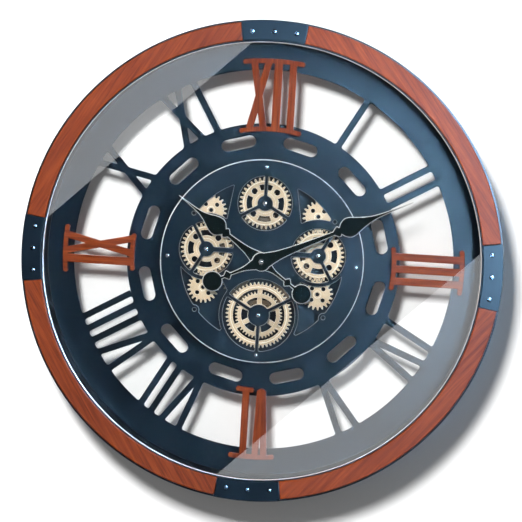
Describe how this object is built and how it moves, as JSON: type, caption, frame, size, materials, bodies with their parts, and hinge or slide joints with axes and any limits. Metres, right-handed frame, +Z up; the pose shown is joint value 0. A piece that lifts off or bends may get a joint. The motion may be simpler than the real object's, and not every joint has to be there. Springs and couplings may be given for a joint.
{
  "type": "wall clock",
  "caption": "Round wall clock with a skeleton dial, raised wooden numerals and a turning gear display behind flat glass.",
  "frame": {"origin": "on the axis of the hands, halfway through the depth of the rim", "axes": "+Z up to twelve o'clock, -Y out of the dial to the viewer, +X to three o'clock"},
  "size_m": [0.6, 0.07, 0.6],
  "materials": {
    "rim_metal": "satin blue-black paint",
    "dial_metal": "satin navy paint",
    "strap_metal": "satin near-black paint",
    "trim_wood": "stained reddish brown, satin lacquer, visible grain",
    "numeral_wood": "stained reddish brown, satin lacquer, visible grain",
    "gear_cream": "pale champagne gold coat on moulded plastic",
    "bright_steel": "bright plated",
    "hand_black": "satin black with bright bevelled edge",
    "clear_glass": "clear, polished",
    "bead_metal": "satin",
    "plate_steel": "zinc plated",
    "case_plastic": "fine matte",
    "drive_brass": "turned",
    "wheel_plastic": "natural white",
    "cell_jacket": "printed copper and black jacket, no text",
    "coil_copper": "enamelled winding",
    "board_green": "solder mask"
  },
  "bodies": {
    "case": {"rim_hoop": "rim_metal", "rim_wood_upper_left": "trim_wood", "rim_wood_upper_right": "trim_wood", "rim_wood_lower_left": "trim_wood", "rim_wood_lower_right": "trim_wood", "rim_strap_top": "strap_metal", "rim_strap_right": "strap_metal", "rim_strap_bottom": "strap_metal", "rim_strap_left": "strap_metal", "glass_lens": "clear_glass", "glass_bead": "bead_metal", "hanger_plate": "plate_steel", "dial_plate": "dial_metal", "numeral_twelve": "numeral_wood", "numeral_three": "numeral_wood", "numeral_six": "numeral_wood", "numeral_nine": "numeral_wood", "gear_cover_plate": "dial_metal", "gear_tray": "dial_metal", "cover_screw_top": "bright_steel", "cover_screw_right": "bright_steel", "cover_screw_bottom": "bright_steel", "cover_screw_left": "bright_steel", "axle_screw_top": "bright_steel", "axle_screw_right": "bright_steel", "axle_screw_bottom": "bright_steel", "axle_screw_left": "bright_steel", "gear_motor": "plate_steel", "gear_battery_box": "case_plastic", "gear_cell_upper": "cell_jacket", "gear_cell_lower": "cell_jacket", "movement_case": "case_plastic", "movement_cover": "case_plastic", "movement_cell": "cell_jacket", "movement_nut": "drive_brass", "circuit_board": "board_green", "stepper_coil": "coil_copper"},
    "center_gear": {"gear_center": "gear_cream"},
    "top_gear": {"gear_top": "gear_cream"},
    "left_gear": {"gear_left": "gear_cream"},
    "right_gear": {"gear_right": "gear_cream"},
    "bottom_gear": {"gear_bottom": "gear_cream", "gear_bottom_inner": "gear_cream"},
    "upper_left_gear": {"gear_upper_left": "gear_cream"},
    "upper_right_gear": {"gear_upper_right": "gear_cream"},
    "lower_left_gear": {"gear_lower_left": "gear_cream"},
    "lower_right_gear": {"gear_lower_right": "gear_cream"},
    "motor_gear": {"motor_pinion": "drive_brass"},
    "minute": {"minute_hand": "hand_black", "minute_arbor": "drive_brass", "hand_nut": "bright_steel"},
    "hour": {"hour_hand": "hand_black", "hour_wheel": "wheel_plastic"},
    "minute_wheel": {"minute_wheel": "wheel_plastic", "set_knob": "wheel_plastic"},
    "battery_door": {"gear_battery_door": "case_plastic"},
    "power_switch": {"gear_switch": "wheel_plastic"}
  },
  "joints": [
    {"name": "center_gear_turn", "type": "hinge", "parent": "case", "child": "center_gear", "pos_m": [0, -0.0065, 0], "axis": [0, 1, 0], "continuous": true},
    {"name": "top_gear_turn", "type": "hinge", "parent": "case", "child": "top_gear", "pos_m": [0, -0.012, 0.0729], "axis": [0, 1, 0], "continuous": true},
    {"name": "left_gear_turn", "type": "hinge", "parent": "case", "child": "left_gear", "pos_m": [-0.07016, -0.012, 0.01154], "axis": [0, 1, 0], "continuous": true},
    {"name": "right_gear_turn", "type": "hinge", "parent": "case", "child": "right_gear", "pos_m": [0.07016, -0.012, 0.01154], "axis": [0, 1, 0], "continuous": true},
    {"name": "bottom_gear_turn", "type": "hinge", "parent": "case", "child": "bottom_gear", "pos_m": [0, -0.012, -0.0675], "axis": [0, 1, 0], "continuous": true},
    {"name": "upper_left_gear_turn", "type": "hinge", "parent": "case", "child": "upper_left_gear", "pos_m": [-0.06711, -0.012, 0.06004], "axis": [0, 1, 0], "continuous": true},
    {"name": "upper_right_gear_turn", "type": "hinge", "parent": "case", "child": "upper_right_gear", "pos_m": [0.06711, -0.012, 0.06004], "axis": [0, 1, 0], "continuous": true},
    {"name": "lower_left_gear_turn", "type": "hinge", "parent": "case", "child": "lower_left_gear", "pos_m": [-0.07177, -0.012, -0.03703], "axis": [0, 1, 0], "continuous": true},
    {"name": "lower_right_gear_turn", "type": "hinge", "parent": "case", "child": "lower_right_gear", "pos_m": [0.07177, -0.012, -0.03703], "axis": [0, 1, 0], "continuous": true},
    {"name": "motor_gear_turn", "type": "hinge", "parent": "case", "child": "motor_gear", "pos_m": [0.0333, -0.0065, 0.05768], "axis": [0, 1, 0], "continuous": true},
    {"name": "minute_turn", "type": "hinge", "parent": "case", "child": "minute", "pos_m": [0, -0.0229, 0], "axis": [0, 1, 0], "continuous": true},
    {"name": "hour_turn", "type": "hinge", "parent": "case", "child": "hour", "pos_m": [0, -0.0199, 0], "axis": [0, 1, 0], "continuous": true},
    {"name": "minute_wheel_turn", "type": "hinge", "parent": "case", "child": "minute_wheel", "pos_m": [0, 0.0058, 0.01], "axis": [0, 1, 0], "continuous": true},
    {"name": "battery_door_swing", "type": "hinge", "parent": "case", "child": "battery_door", "pos_m": [0, 0.0213, -0.052], "axis": [1, 0, 0], "range_deg": [0, 110]},
    {"name": "power_switch_slide", "type": "slide", "parent": "case", "child": "power_switch", "axis": [1, 0, 0], "range_m": [0, 0.004]}
  ],
  "couplings": [
    {"joint": "center_gear_turn", "follows": "motor_gear_turn", "ratio": -0.15625},
    {"joint": "top_gear_turn", "follows": "motor_gear_turn", "ratio": 0.58824},
    {"joint": "left_gear_turn", "follows": "motor_gear_turn", "ratio": 0.66667},
    {"joint": "right_gear_turn", "follows": "motor_gear_turn", "ratio": 0.66667},
    {"joint": "bottom_gear_turn", "follows": "motor_gear_turn", "ratio": 0.90909},
    {"joint": "upper_left_gear_turn", "follows": "motor_gear_turn", "ratio": -1.1333},
    {"joint": "upper_right_gear_turn", "follows": "motor_gear_turn", "ratio": -1.1333},
    {"joint": "lower_left_gear_turn", "follows": "motor_gear_turn", "ratio": -1.1333},
    {"joint": "lower_right_gear_turn", "follows": "motor_gear_turn", "ratio": -1.1333},
    {"joint": "hour_turn", "follows": "minute_turn", "ratio": 0.083333},
    {"joint": "minute_wheel_turn", "follows": "minute_turn", "ratio": -0.33333}
  ]
}
